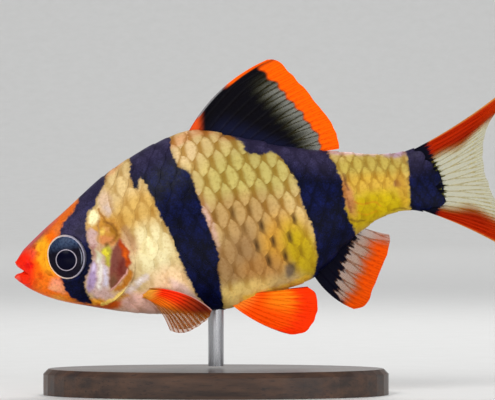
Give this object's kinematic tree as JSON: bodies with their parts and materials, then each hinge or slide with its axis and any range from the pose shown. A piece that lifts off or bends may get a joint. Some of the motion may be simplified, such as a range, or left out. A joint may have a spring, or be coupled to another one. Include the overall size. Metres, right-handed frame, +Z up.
{
  "type": "tiger barb model on a stand",
  "caption": "Small deep-bodied striped fish, life size, swimming nose slightly down with all fins spread, held over a flat oval base by a short rod.",
  "frame": {"origin": "centre of the stand base's underside", "axes": "+X from the snout towards the tail, level; +Y towards the fish's right flank; +Z up"},
  "size_m": [0.0605, 0.022, 0.0388],
  "materials": {
    "snout_skin": "glossy painted resin, orange-red snout",
    "flank_scales": "glossy painted resin, pale gold scales with dark bars",
    "gill_plate": "glossy painted resin, pearly pink and brown",
    "eye": "polished black",
    "dorsal_membrane": "satin painted resin, black with an orange edge",
    "red_membrane": "satin painted resin, red-orange",
    "stand_wood": "dark satin wood",
    "stand_steel": "satin"
  },
  "bodies": {
    "root": {"head": "snout_skin", "trunk": "flank_scales", "tail_root": "flank_scales", "gill_cover_left": "gill_plate", "gill_cover_right": "gill_plate", "eye_left": "eye", "eye_right": "eye", "dorsal_fin": "dorsal_membrane", "anal_fin": "red_membrane", "tail_fin_upper": "red_membrane", "tail_fin_lower": "red_membrane", "pectoral_fin_left": "red_membrane", "pectoral_fin_right": "red_membrane", "pelvic_fin_left": "red_membrane", "pelvic_fin_right": "red_membrane", "stand_base": "stand_wood", "stand_rod": "stand_steel"}
  },
  "joints": []
}
